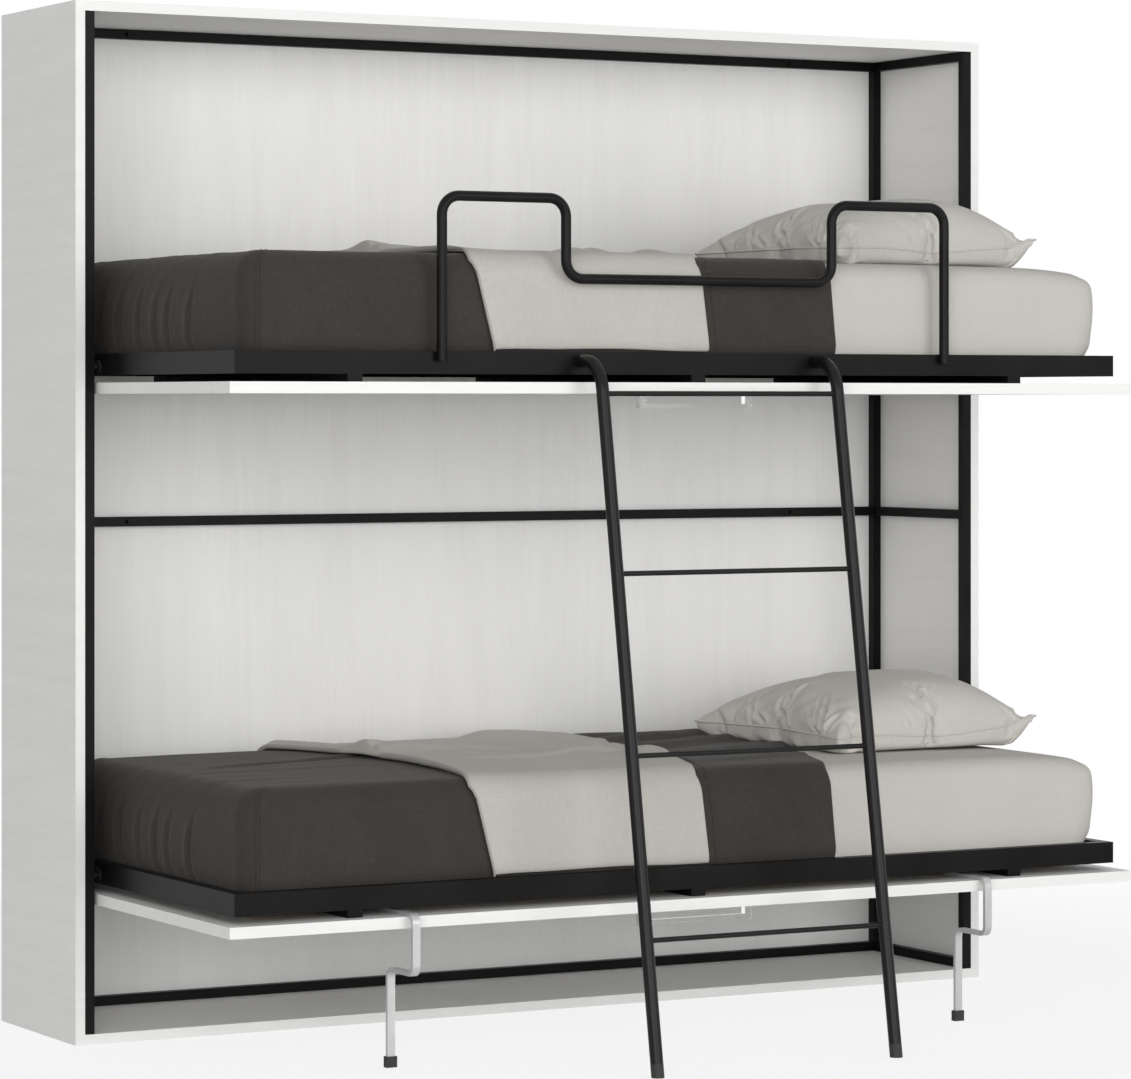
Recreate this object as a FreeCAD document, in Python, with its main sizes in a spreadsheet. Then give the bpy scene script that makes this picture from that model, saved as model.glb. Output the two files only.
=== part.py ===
import FreeCAD, Part
import math
import os
import re

import Sketcher
from FreeCAD import Placement, Rotation, Vector

# Horizontal bunk bed that folds into a wall cabinet.
# Millimetres and degrees, X along the beds, -Y into the room, Z up from the floor.
# The origin is the middle of the cabinet's footprint.

SIZES = {
    # cabinet boards and its square-tube frame
    "board": 20,
    "back_board": 13,
    "tube": 20,
    "tube_wall": 1.5,
    "wall_hole": 8.5,
    "wall_hole_offset": 800,
    "cut_past": 1,
    # pivot of each bed, in its end rails
    "pivot_in_rail": 16,
    "pivot_from_rear": 274,
    "pivot_pin": 14,
    "bush_outer": 20,
    "bush_flange": 28,
    "bush_flange_thickness": 3,
    "running_gap": 0.05,
    "plate_thickness": 5,
    "plate_margin": 26,
    # front panel under each bed
    "door_thickness": 22,
    "door_side_gap": 7,
    "door_top_gap": 3,
    "door_bottom_gap": 28,
    "door_lip": 31,
    "door_rear_lip": 5,
    "handle_length": 254,
    "handle_height": 29,
    "handle_width": 14,
    "handle_bar": 9,
    "handle_post": 16,
    "handle_inset": 47,
    # steel bed frame, and its room in the cabinet
    "bed_post_gap": 30,
    "bed_back_gap": 68,
    "rail_width": 25,
    "rail_height": 43,
    "rail_wall": 2,
    "bar_width": 31,
    "bar_height": 15,
    "bar_offset": 744,
    "ledge_width": 18,
    "ledge_thickness": 4,
    "slat_count": 14,
    "slat_width": 68,
    "slat_thickness": 8,
    "slat_drop": 20,
    "slat_end_gap": 1,
    "stop_width": 30,
    "stop_thickness": 6,
    "stop_overlap": 16,
    "stop_setback": 22,
    "rest_gap": 0.3,
    # gas strut, its ends measured from the pivot
    "strut_top_y": 80,
    "strut_top_z": 180,
    "strut_arm_y": 70,
    "strut_arm_z": -10,
    "strut_barrel": 18,
    "strut_rod": 8,
    "strut_pin": 8,
    "strut_eye": 20,
    "strut_boss": 18,
    "strut_rod_shown": 40,
    "strut_side_gap": 0.5,
    # mattress and bedding
    "mattress_length": 1908,
    "mattress_width": 880,
    "mattress_height": 198,
    "mattress_end_gap": 12,
    "mattress_front_gap": 1,
    "mattress_rear_gap": 12,
    "mattress_edge": 42,
    "mattress_corner": 55,
    "mattress_pull": 5,
    "mattress_crown": 6,
    "cloth_gap": 0.3,
    "cover_thickness": 6,
    "throw_thickness": 5,
    "throw_width_low": 476,
    "throw_width_top": 511,
    "throw_cover_low": 299,
    "throw_cover_top": 324,
    "throw_hem": 3,
    "pillow_length": 562,
    "pillow_width": 530,
    "pillow_height": 158,
    "pillow_head_gap": 4,
    "pillow_cover_gap": 87,
    "pillow_front_gap": 164,
    # guard rail of the upper bed
    "guard_tube": 20,
    "guard_wall": 1.5,
    "guard_width": 1134,
    "guard_hump": 267,
    "guard_rise": 297,
    "guard_dip": 142,
    "guard_drop": 18,
    "guard_bend": 36,
    "guard_peg": 8,
    "guard_peg_length": 12,
    "guard_peg_rise": 9,
    "guard_peg_gap": 0.5,
    # ladder
    "ladder_width": 528,
    "ladder_reach": 310,
    "ladder_hook_reach": 82,
    "ladder_hook_rise": 4.5,
    "ladder_hook_bend": 65,
    "stile_tube": 25,
    "stile_wall": 2,
    "ladder_foot": 25,
    "ladder_peg": 14,
    "ladder_peg_length": 10,
    "ladder_peg_gap": 5,
    "rung_rod": 10,
    "rung_count": 4,
    "rung_first": 252,
    "rung_hook_drop": 63,
    # swivel legs of the lower bed
    "leg_bar_gap": 100.5,
    "leg_width": 16,
    "leg_thickness": 8,
    "leg_edge_gap": 18.5,
    "leg_stem": 150,
    "leg_drop": 86,
    "leg_jog": 110,
    "leg_stub": 46,
    "leg_bend": 16,
    "leg_pin": 5,
    "leg_pin_end": 6,
    "leg_swivel_gap": 0.3,
    "leg_cap_height": 21,
    "leg_cap_wall": 3,
}

doc = FreeCAD.newDocument("wall_bunk_bed")
sheet = doc.addObject("Spreadsheet::Sheet", "sizes")
for row, (alias, number) in enumerate(SIZES.items(), 1):
    sheet.set("A%d" % row, alias)
    sheet.set("B%d" % row, str(number))
    sheet.setAlias("B%d" % row, alias)
doc.recompute()

nodes = []


def cell(text):
    """Turn size names in a formula into references to the sheet."""
    return re.sub(r"[a-z_]+", lambda word: "sizes." + word.group() if word.group() in SIZES else word.group(), text)


def number(text):
    """Work a formula of size names out to a plain number."""
    return float(sheet.evalExpression(cell(text)))


def bind(piece, **formulas):
    for name, text in formulas.items():
        piece.setExpression(name, cell(text))


def seat(piece, x, y, z):
    for axis, text in zip("xyz", (x, y, z)):
        piece.setExpression(".Placement.Base." + axis, cell(text))


def node(name, piece):
    piece.Label = name
    nodes.append(piece)
    return piece


def box(size, corner):
    piece = doc.addObject("Part::Box", "block")
    bind(piece, Length=size[0], Width=size[1], Height=size[2])
    seat(piece, *corner)
    return piece


TURNS = {
    "x": Rotation(Vector(0, 1, 0), 90),
    "y": Rotation(Vector(1, 0, 0), -90),
    "z": Rotation(),
}


def rod(diameter, length, start, axis):
    piece = doc.addObject("Part::Cylinder", "rod")
    piece.Placement = Placement(Vector(), TURNS[axis])
    bind(piece, Radius="(%s)/2" % diameter, Height=length)
    seat(piece, *start)
    return piece


def cut(base, tool):
    piece = doc.addObject("Part::Cut", "cut")
    piece.Base = base
    piece.Tool = tool
    return piece


def fuse(*shapes):
    piece = doc.addObject("Part::MultiFuse", "weld")
    piece.Shapes = list(shapes)
    return piece


def group(pieces):
    piece = doc.addObject("Part::Compound", "set")
    piece.Links = pieces
    return piece


def made(shape):
    piece = doc.addObject("Part::Feature", "form")
    piece.Shape = shape
    return piece


def tube(size, corner, axis, wall, capped=False):
    """Rectangular tube along an axis, open at its ends or closed by welded caps."""
    core_size = list(size)
    core_corner = list(corner)
    for index, name in enumerate("xyz"):
        if name != axis or capped:
            core_size[index] = "%s - 2*%s" % (size[index], wall)
            core_corner[index] = "%s + %s" % (corner[index], wall)
    return cut(box(size, corner), box(core_size, core_corner))


def padded_outline(outline, thickness, role):
    """Body padded from a closed outline of (across, up) formulas on one of its origin planes."""
    body = doc.addObject("PartDesign::Body", "body")
    sketch = body.newObject("Sketcher::SketchObject", "outline")
    plane = [feature for feature in body.Origin.OriginFeatures if feature.Role == role][0]
    sketch.AttachmentSupport = [(plane, "")]
    sketch.MapMode = "FlatFace"
    points = [Vector(number(across), number(up), 0) for across, up in outline]
    for index, point in enumerate(points):
        sketch.addGeometry(Part.LineSegment(point, points[(index + 1) % len(points)]))
    for index, (across, up) in enumerate(outline):
        sketch.addConstraint(Sketcher.Constraint("Coincident", index - 1 if index else len(points) - 1, 2, index, 1))
        for text, kind, axis in ((across, "DistanceX", -2), (up, "DistanceY", -1)):
            if text == "0":
                sketch.addConstraint(Sketcher.Constraint("PointOnObject", index, 1, axis))
            else:
                place = sketch.addConstraint(Sketcher.Constraint(kind, -1, 1, index, 1, number(text)))
                sketch.setExpression("Constraints[%d]" % place, cell(text))
    pad = body.newObject("PartDesign::Pad", "pad")
    pad.Profile = sketch
    bind(pad, Length=thickness)
    return body


def rounded_path(points, bend):
    """Straight runs through the points, joined by tangent arcs of one radius."""
    edges = []
    start = points[0]
    for before, corner, after in zip(points, points[1:], points[2:]):
        back = (before - corner).normalize()
        ahead = (after - corner).normalize()
        half = back.getAngle(ahead) / 2
        first = corner + back * (bend / math.tan(half))
        last = corner + ahead * (bend / math.tan(half))
        middle = (back + ahead).normalize()
        middle = corner + middle * (bend / math.sin(half) - bend)
        edges.append(Part.LineSegment(start, first).toShape())
        edges.append(Part.Arc(first, middle, last).toShape())
        start = last
    edges.append(Part.LineSegment(start, points[-1]).toShape())
    return Part.Wire(edges)


def swept(path, profile):
    return path.makePipeShell([profile], True, False)


def pipe(points, bend, radius):
    ahead = points[1] - points[0]
    return swept(rounded_path(points, bend), Part.Wire([Part.makeCircle(radius, points[0], ahead)]))


def hollow_pipe(points, bend, radius, wall):
    """Bent tube whose two ends are closed by discs one wall thick."""
    inner = list(points)
    inner[0] = points[0] + (points[1] - points[0]).normalize() * wall
    inner[-1] = points[-1] + (points[-2] - points[-1]).normalize() * wall
    return pipe(points, bend, radius).cut(pipe(inner, bend, radius - wall))


def flat_bar(points, bend, width, thickness):
    """Flat bar bent in a plane of constant X, its width along X."""
    ahead = (points[1] - points[0]).normalize()
    across = Vector(width / 2, 0, 0)
    up = Vector(1, 0, 0).cross(ahead) * (thickness / 2)
    corners = [points[0] + across * a + up * b for a, b in ((1, 1), (-1, 1), (-1, -1), (1, -1), (1, 1))]
    return swept(rounded_path(points, bend), Part.makePolygon(corners))


def ring(centre, half_x, half_y, corner, pull):
    """Closed outline of eight arcs: rounded corners, and sides drawn in by pull."""
    flat_x = half_x - corner
    flat_y = half_y - corner
    slant = corner * math.sqrt(0.5)
    stops = [(half_x, -flat_y), (half_x - pull, 0), (half_x, flat_y), (flat_x + slant, flat_y + slant),
             (flat_x, half_y), (0, half_y - pull), (-flat_x, half_y), (-flat_x - slant, flat_y + slant),
             (-half_x, flat_y), (pull - half_x, 0), (-half_x, -flat_y), (-flat_x - slant, -flat_y - slant),
             (-flat_x, -half_y), (0, pull - half_y), (flat_x, -half_y), (flat_x + slant, -flat_y - slant)]
    points = [centre + Vector(x, y, 0) for x, y in stops]
    points.append(points[0])
    return Part.Wire([Part.Arc(*points[start:start + 3]).toShape() for start in range(0, 16, 2)])


# The mattress sets the bed frame, and the bed frame sets the cabinet
BED_LENGTH = "(mattress_length + 2*mattress_end_gap + 2*rail_width)"
BED_WIDTH = "(mattress_width + mattress_front_gap + mattress_rear_gap + 2*rail_width)"
PIVOT_DEPTH = "(door_thickness + bar_height + pivot_in_rail)"
PIVOT_HEIGHT = "(door_bottom_gap + door_rear_lip + pivot_from_rear)"
DOOR_REACH = "(%s - pivot_from_rear + door_lip)" % BED_WIDTH
DOOR_LENGTH = "(%s + 2*bed_post_gap - 2*door_side_gap)" % BED_LENGTH
DOOR_WIDTH = "(%s + pivot_from_rear + door_rear_lip)" % DOOR_REACH
BAY = "(%s + %s + door_top_gap)" % (PIVOT_HEIGHT, DOOR_REACH)
DEPTH = "(%s + pivot_from_rear + bed_back_gap + back_board)" % PIVOT_DEPTH
WIDTH = "(%s + 2*bed_post_gap + 2*tube + 2*board)" % BED_LENGTH

# Places that several pieces share
FRONT = "(-%s/2)" % DEPTH
BACK = "(%s/2 - back_board)" % DEPTH
SIDE = "(%s/2 - board)" % WIDTH
POST = "(%s/2 - board - tube)" % WIDTH
PIVOT_Y = "(%s + %s)" % (FRONT, PIVOT_DEPTH)
DOOR_FRONT = "(%s - %s)" % (PIVOT_Y, DOOR_REACH)
BED_FRONT = "(%s + door_lip)" % DOOR_FRONT
BED_BACK = "(%s + pivot_from_rear)" % PIVOT_Y
BED_END = "(%s/2)" % BED_LENGTH
MATTRESS_FRONT = "(%s + rail_width + mattress_front_gap)" % BED_FRONT
SHEET_SHOWN = "(pillow_head_gap + pillow_width + pillow_cover_gap)"
COVER_END = "(mattress_length/2 - %s)" % SHEET_SHOWN
STRUT_X = "(%s - plate_thickness - strut_side_gap - strut_barrel/2)" % SIDE
BEDS = ((0, "lower"), (1, "upper"))
SIDES = ((-1, "left"), (1, "right"))


def floor_z(bay):
    return "(board + %d*%s)" % (bay, BAY)


def pivot_z(bay):
    return "(%s + %s)" % (floor_z(bay), PIVOT_HEIGHT)


def deck_z(bay):
    """Outer face of the front panel when the bed is down."""
    return "(%s - %s)" % (pivot_z(bay), PIVOT_DEPTH)


def rail_z(bay):
    return "(%s + door_thickness + bar_height)" % deck_z(bay)


def rail_top(bay):
    return "(%s + rail_height)" % rail_z(bay)


def slat_top(bay):
    return "(%s - slat_drop)" % rail_top(bay)


def mattress_top(bay):
    return "(%s + mattress_height)" % slat_top(bay)


def from_side(sign, place, reach):
    """Lower X of a block that reaches inward from a place on the left or right side."""
    return "(%s - %s)" % (place, reach) if sign > 0 else "(-%s)" % place


def wall_holes(level):
    start = "(%s - tube - cut_past)" % BACK
    length = "(tube + back_board + 2*cut_past)"
    return [rod("wall_hole", length, ("%d*wall_hole_offset" % sign, start, level), "y") for sign in (-1, 1)]


def cabinet_boards():
    for name, level in (("bottom_board", "0"), ("top_board", floor_z(2))):
        node(name, box((WIDTH, DEPTH, "board"), ("-%s/2" % WIDTH, FRONT, level)))
    for bay, word in BEDS:
        for sign, hand in SIDES:
            corner = (from_side(sign, "(%s + board)" % SIDE, "board"), FRONT, floor_z(bay))
            node("%s_%s_side" % (word, hand), box(("board", DEPTH, BAY), corner))
        panel = box(("2*%s" % SIDE, "back_board", BAY), ("-%s" % SIDE, BACK, floor_z(bay)))
        holes = wall_holes("(%s - tube/2)" % floor_z(bay + 1))
        node("%s_back_panel" % word, cut(panel, group(holes)))


def steel_frame():
    """Square-tube frame inside the boards: four posts, and rails round the back and the ends."""
    post_size = ("tube", "tube", "2*%s" % BAY)
    for name, depth in (("front_posts", FRONT), ("back_posts", "(%s - tube)" % BACK)):
        node(name, group([tube(post_size, (from_side(sign, SIDE, "tube"), depth, "board"), "z", "tube_wall")
                          for sign, hand in SIDES]))
    levels = ["board", "(%s - tube)" % floor_z(1), "(%s - tube)" % floor_z(2)]
    long_rails = []
    end_rails = []
    for level in levels:
        size = ("2*%s" % POST, "tube", "tube")
        rail = tube(size, ("-%s" % POST, "(%s - tube)" % BACK, level), "x", "tube_wall")
        if level != "board":
            rail = cut(rail, group(wall_holes("(%s + tube/2)" % level)))
        long_rails.append(rail)
        for sign, hand in SIDES:
            size = ("tube", "%s - back_board - 2*tube" % DEPTH, "tube")
            corner = (from_side(sign, SIDE, "tube"), "(%s + tube)" % FRONT, level)
            end_rails.append(tube(size, corner, "y", "tube_wall"))
    node("back_rails", group(long_rails))
    node("end_frame_rails", group(end_rails))


def pivots():
    """Steel plates on the cabinet's sides, with the pins that carry the beds and their struts."""
    plates = []
    bed_pins = []
    strut_pins = []
    stops = []
    for bay, word in BEDS:
        for sign, hand in SIDES:
            outline = [("0", "0"), ("strut_top_y + 2*plate_margin", "0"),
                       ("strut_top_y + 2*plate_margin", "strut_top_z + 2*plate_margin"),
                       ("strut_top_y", "strut_top_z + 2*plate_margin"), ("0", "2*plate_margin")]
            plate = padded_outline(outline, "plate_thickness", "YZ_Plane")
            low_y = "(%s - plate_margin)" % PIVOT_Y
            low_z = "(%s - plate_margin)" % pivot_z(bay)
            seat(plate, from_side(sign, SIDE, "plate_thickness"), low_y, low_z)
            plates.append(plate)
            face = "(%s - plate_thickness)" % SIDE
            reach = "(%s - %s + rail_width - rail_wall)" % (face, BED_END)
            bed_pins.append(rod("pivot_pin", reach, (from_side(sign, face, reach), PIVOT_Y, pivot_z(bay)), "x"))
            reach = "(strut_side_gap + strut_barrel)"
            place = (from_side(sign, face, reach), "(%s + strut_top_y)" % PIVOT_Y,
                     "(%s + strut_top_z)" % pivot_z(bay))
            strut_pins.append(rod("strut_pin", reach, place, "x"))
            reach = "(%s - %s + stop_overlap)" % (SIDE, BED_END)
            corner = (from_side(sign, SIDE, reach), "(%s - stop_setback - stop_width)" % BED_BACK,
                      "(%s + rest_gap)" % rail_top(bay))
            stops.append(box((reach, "stop_width", "stop_thickness"), corner))
    node("pivot_plates", group(plates))
    node("pivot_pins", group(bed_pins))
    node("strut_pins", group(strut_pins))
    node("stop_brackets", group(stops))


def gas_strut(bay, word, sign, hand):
    """Barrel hung on the cabinet and rod that pushes the bed up, compressed when the bed is down."""
    x = sign * number(STRUT_X)
    top = Vector(x, number("%s + strut_top_y" % PIVOT_Y), number("%s + strut_top_z" % pivot_z(bay)))
    end = Vector(x, number("%s + strut_arm_y" % PIVOT_Y), number("%s + strut_arm_z" % pivot_z(bay)))
    along = (end - top).normalize()
    length = top.distanceToPoint(end)
    closed = Vector(x, number("%s + strut_arm_z" % PIVOT_Y), number("%s - strut_arm_y" % pivot_z(bay)))
    stroke = top.distanceToPoint(closed) - length
    eye = number("strut_eye") / 2
    half = Vector(number("strut_barrel") / 2, 0, 0)
    gap = number("running_gap")
    rod_radius = number("strut_rod") / 2
    barrel_length = length - number("strut_rod_shown")
    wall = number("strut_barrel") / 2 - rod_radius
    bore_start = eye + wall
    barrel = Part.makeCylinder(number("strut_barrel") / 2, barrel_length, top, along)
    barrel = barrel.fuse(Part.makeCylinder(eye, 2 * half.x, top - half, Vector(1, 0, 0)))
    barrel = barrel.cut(Part.makeCylinder(rod_radius + gap, length, top + along * bore_start, along))
    pin_hole = Part.makeCylinder(number("strut_pin") / 2 + gap, 2 * half.x, top - half, Vector(1, 0, 0))
    node("%s_%s_strut_barrel" % (word, hand), made(barrel.cut(pin_hole)))
    inside = max(barrel_length - stroke - number("strut_eye"), bore_start + number("rest_gap"))
    push = Part.makeCylinder(rod_radius, length - inside, top + along * inside, along)
    push = push.fuse(Part.makeCylinder(eye, 2 * half.x, end - half, Vector(1, 0, 0)))
    node("%s_%s_strut_rod" % (word, hand), made(push))


def bed_rails(bay, word):
    long_size = (BED_LENGTH, "rail_width", "rail_height")
    ledge_size = ("%s - 2*rail_width" % BED_LENGTH, "ledge_width", "ledge_thickness")
    ledge_x = "(rail_width - %s)" % BED_END
    ledge_z = "(%s - slat_thickness - ledge_thickness)" % slat_top(bay)
    rails = {}
    rail_back = "(%s - rail_width)" % BED_BACK
    for place, rail_y, ledge_y in (("front", BED_FRONT, "(%s + rail_width)" % BED_FRONT),
                                   ("rear", rail_back, "(%s - ledge_width)" % rail_back)):
        rail = tube(long_size, ("-%s" % BED_END, rail_y, rail_z(bay)), "x", "rail_wall", capped=True)
        rails[place] = fuse(rail, box(ledge_size, (ledge_x, ledge_y, ledge_z)))
    if bay:
        rails["front"] = cut(rails["front"], group(peg_holes(bay)))
    for place, rail in rails.items():
        node("%s_%s_rail" % (word, place), rail)
    ends = []
    bushes = []
    for sign, hand in SIDES:
        size = ("rail_width", "%s - 2*rail_width" % BED_WIDTH, "rail_height")
        corner = (from_side(sign, BED_END, "rail_width"), "(%s + rail_width)" % BED_FRONT, rail_z(bay))
        end = tube(size, corner, "y", "rail_wall")
        reach = "(%s - strut_barrel/2 - strut_side_gap - %s)" % (STRUT_X, BED_END)
        place = (from_side(sign, "(%s + %s)" % (BED_END, reach), reach), "(%s + strut_arm_y)" % PIVOT_Y,
                 "(%s + strut_arm_z)" % pivot_z(bay))
        boss = rod("strut_boss", reach, place, "x")
        hole_x = from_side(sign, BED_END, "rail_width")
        hole = rod("bush_outer + 2*running_gap", "rail_width", (hole_x, PIVOT_Y, pivot_z(bay)), "x")
        ends.append(cut(fuse(end, boss), hole))
        sleeve = rod("bush_outer", "rail_width", (hole_x, PIVOT_Y, pivot_z(bay)), "x")
        flange_x = from_side(sign, "(%s + bush_flange_thickness)" % BED_END, "bush_flange_thickness")
        flange = rod("bush_flange", "bush_flange_thickness", (flange_x, PIVOT_Y, pivot_z(bay)), "x")
        bore_length = "(rail_width + bush_flange_thickness)"
        bore_x = from_side(sign, "(%s + bush_flange_thickness)" % BED_END, bore_length)
        bore = rod("pivot_pin + 2*running_gap", bore_length, (bore_x, PIVOT_Y, pivot_z(bay)), "x")
        bushes.append(cut(fuse(sleeve, flange), bore))
    node("%s_end_rails" % word, group(ends))
    node("%s_pivot_bushes" % word, group(bushes))


def bed_base(bay, word):
    """Front panel, cross bars, slats and the clear bow handle."""
    corner = ("-%s/2" % DOOR_LENGTH, DOOR_FRONT, deck_z(bay))
    node("%s_front_panel" % word, box((DOOR_LENGTH, DOOR_WIDTH, "door_thickness"), corner))
    bar_z = "(%s + door_thickness)" % deck_z(bay)
    bars = []
    for step in (-1, 0, 1):
        corner = ("(%d*bar_offset - bar_width/2)" % step, BED_FRONT, bar_z)
        bars.append(tube(("bar_width", BED_WIDTH, "bar_height"), corner, "y", "tube_wall", capped=True))
    node("%s_cross_bars" % word, group(bars))
    slats = []
    pitch = "((%s - 2*rail_width)/slat_count)" % BED_LENGTH
    for step in range(int(number("slat_count"))):
        x = "(rail_width - %s + (%d + 0.5)*%s - slat_width/2)" % (BED_END, step, pitch)
        size = ("slat_width", "%s - 2*rail_width - 2*slat_end_gap" % BED_WIDTH, "slat_thickness")
        slats.append(box(size, (x, "(%s + rail_width + slat_end_gap)" % BED_FRONT,
                                "(%s - slat_thickness)" % slat_top(bay))))
    node("%s_slats" % word, group(slats))
    inner = "(handle_length - handle_post)"
    outline = [("0", "0"), ("handle_length", "0"), ("handle_length", "handle_height"), (inner, "handle_height"),
               (inner, "handle_bar"), ("handle_post", "handle_bar"), ("handle_post", "handle_height"),
               ("0", "handle_height")]
    handle = padded_outline(outline, "handle_width", "XZ_Plane")
    seat(handle, "-handle_length/2", "(%s + handle_inset + handle_width/2)" % DOOR_FRONT,
         "(%s - handle_height)" % deck_z(bay))
    node("%s_handle" % word, handle)


def bedding_form(bay, grow):
    """Mattress shape with a crowned top and drawn-in sides, grown outward and upward by a thickness."""
    half_x = number("mattress_length") / 2 + grow
    half_y = number("mattress_width") / 2 + grow
    y = number("%s + mattress_width/2" % MATTRESS_FRONT)
    low = number(slat_top(bay))
    high = number(mattress_top(bay)) + grow
    edge = number("mattress_edge")
    layers = [(low, 0.3 * edge), (low + 0.6 * edge, 0), (high - edge, 0), (high - 0.45 * edge, 0.2 * edge),
              (high - 0.12 * edge, 0.6 * edge), (high, 1.4 * edge), (high + number("mattress_crown"), 0.6 * half_y)]
    corner = number("mattress_corner")
    pull = number("mattress_pull")
    rings = [ring(Vector(0, y, z), half_x - inset, half_y - inset, corner, pull) for z, inset in layers]
    return Part.makeLoft(rings, True, True)


def bedding(bay, word):
    """Mattress in its fitted sheet, dark cover over the foot half, pale throw and pillow."""
    node("%s_mattress" % word, made(bedding_form(bay, 0)))
    gap = number("cloth_gap")
    cover = gap + number("cover_thickness")
    drape = cover + gap
    throw = drape + number("throw_thickness")
    foot = -number("mattress_length") / 2
    reach = 4 * throw
    low = number(rail_top(bay)) + gap
    high = number(mattress_top(bay)) + number("mattress_crown") + reach
    near = number(BED_FRONT)
    depth = number(BED_WIDTH) + reach
    cover_end = number(COVER_END)
    shell = bedding_form(bay, cover).cut(bedding_form(bay, gap))
    room = Part.makeBox(cover_end - foot + reach, depth, high - low, Vector(foot - reach, near, low))
    node("%s_cover" % word, made(shell.common(room)))
    hem = low + number("throw_hem")
    top = number(mattress_top(bay))
    head_low = cover_end - number("throw_cover_low")
    head_top = cover_end - number("throw_cover_top")
    foot_low = head_low - number("throw_width_low")
    foot_top = head_top - number("throw_width_top")
    places = ((foot_low, hem), (foot_top, top), (foot_top, high), (head_top, high), (head_top, top), (head_low, hem),
              (foot_low, hem))
    outline = Part.makePolygon([Vector(x, near, z) for x, z in places])
    room = Part.Face(outline).extrude(Vector(0, depth, 0))
    shell = bedding_form(bay, throw).cut(bedding_form(bay, drape))
    node("%s_throw" % word, made(shell.common(room)))
    half_x = number("pillow_width") / 2
    half_y = number("pillow_length") / 2
    tall = number("pillow_height")
    x = -foot - number("pillow_head_gap") - half_x
    y = number("%s + pillow_front_gap" % MATTRESS_FRONT) + half_y
    base = number("%s + mattress_crown + rest_gap" % mattress_top(bay))
    layers = ((0, 0.38, 0.02, 0.24), (0.12, 0.16, 0.05, 0.2), (0.3, 0, 0.11, 0.06), (0.5, 0.09, 0.06, 0.16),
              (0.75, 0.28, 0.03, 0.2), (0.92, 0.5, 0.02, 0.2), (1, 0.76, 0.01, 0.12))
    rings = [ring(Vector(x, y, base + tall * up), half_x * (1 - draw), half_y - half_x * draw,
                  half_x * corner, half_x * pull) for up, draw, pull, corner in layers]
    node("%s_pillow" % word, made(Part.makeLoft(rings, True, True)))


GUARD_PEG_Z = "(%s - guard_drop + guard_peg_rise)" % rail_top(1)
HOOK_Z = "(%s + rail_height/2 + ladder_hook_rise)" % rail_z(1)


def peg_holes(bay):
    """Holes in the upper bed's front rail for the pegs of the guard rail and of the ladder."""
    start = "(%s - cut_past)" % BED_FRONT
    length = "(rail_wall + 2*cut_past)"
    holes = []
    for sign, hand in SIDES:
        holes.append(rod("guard_peg + 2*guard_peg_gap", length, ("%d*guard_width/2" % sign, start, GUARD_PEG_Z), "y"))
        holes.append(rod("ladder_peg + 2*ladder_peg_gap", length, ("%d*ladder_width/2" % sign, start, HOOK_Z), "y"))
    return holes


def guard_rail():
    """One bent tube with two humps, hung on the outer face of the upper bed's front rail by pegs."""
    y = number("%s - guard_tube/2" % BED_FRONT)
    half = number("guard_width") / 2
    inner = half - number("guard_hump")
    top = number("%s + guard_rise" % rail_top(1))
    dip = number("%s + guard_dip" % rail_top(1))
    low = number("%s - guard_drop" % rail_top(1))
    places = ((-half, low), (-half, top), (-inner, top), (-inner, dip), (inner, dip), (inner, top), (half, top),
              (half, low))
    points = [Vector(x, y, z) for x, z in places]
    rail = hollow_pipe(points, number("guard_bend"), number("guard_tube") / 2, number("guard_wall"))
    length = number("guard_wall + guard_peg_length")
    for sign, hand in SIDES:
        start = Vector(sign * half, number("%s - guard_wall" % BED_FRONT), number(GUARD_PEG_Z))
        rail = rail.fuse(Part.makeCylinder(number("guard_peg") / 2, length, start, Vector(0, 1, 0)))
    node("guard_rail", made(rail))


def ladder():
    """Two stiles bent over at the top, four rungs and two feet, standing in front of the beds."""
    radius = number("stile_tube") / 2
    foot_y = number("%s - ladder_reach" % BED_FRONT)
    hook_y = number("%s - ladder_hook_reach" % BED_FRONT)
    hook_z = number(HOOK_Z)
    up = Vector(0, hook_y - foot_y, hook_z).normalize()
    face = number(BED_FRONT)
    solids = []
    feet = []
    for sign, hand in SIDES:
        x = sign * number("ladder_width") / 2
        ground = Vector(x, foot_y, 0)
        points = [ground + up * number("ladder_foot"), Vector(x, hook_y, hook_z), Vector(x, face, hook_z)]
        bend = number("ladder_hook_bend")
        stile = hollow_pipe(points, bend, radius, number("stile_wall"))
        peg_start = Vector(x, face - number("stile_wall"), hook_z)
        peg_length = number("stile_wall + ladder_peg_length")
        peg = Part.makeCylinder(number("ladder_peg") / 2, peg_length, peg_start, Vector(0, 1, 0))
        node("ladder_%s_stile" % hand, made(stile.fuse(peg)))
        solids.append(pipe(points, bend, radius))
        foot = Part.makeCylinder(radius, 2 * number("ladder_foot"), points[0] - up * 2 * number("ladder_foot"), up)
        above = Part.makeBox(4 * radius, 8 * radius, 4 * radius, ground - Vector(2 * radius, 4 * radius, 0))
        feet.append(foot.common(above))
    node("ladder_feet", made(Part.makeCompound(feet)))
    rungs = []
    count = int(number("rung_count"))
    first = number("rung_first")
    climb = (hook_z - number("rung_hook_drop") - first) / (count - 1)
    for step in range(count):
        z = first + step * climb
        start = Vector(-number("ladder_width") / 2, foot_y + z * up.y / up.z, z)
        rung = Part.makeCylinder(number("rung_rod") / 2, number("ladder_width"), start, Vector(1, 0, 0))
        rungs.append(max(rung.cut(solids).Solids, key=lambda solid: solid.Volume))
    node("ladder_rungs", made(Part.makeCompound(rungs)))


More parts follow.
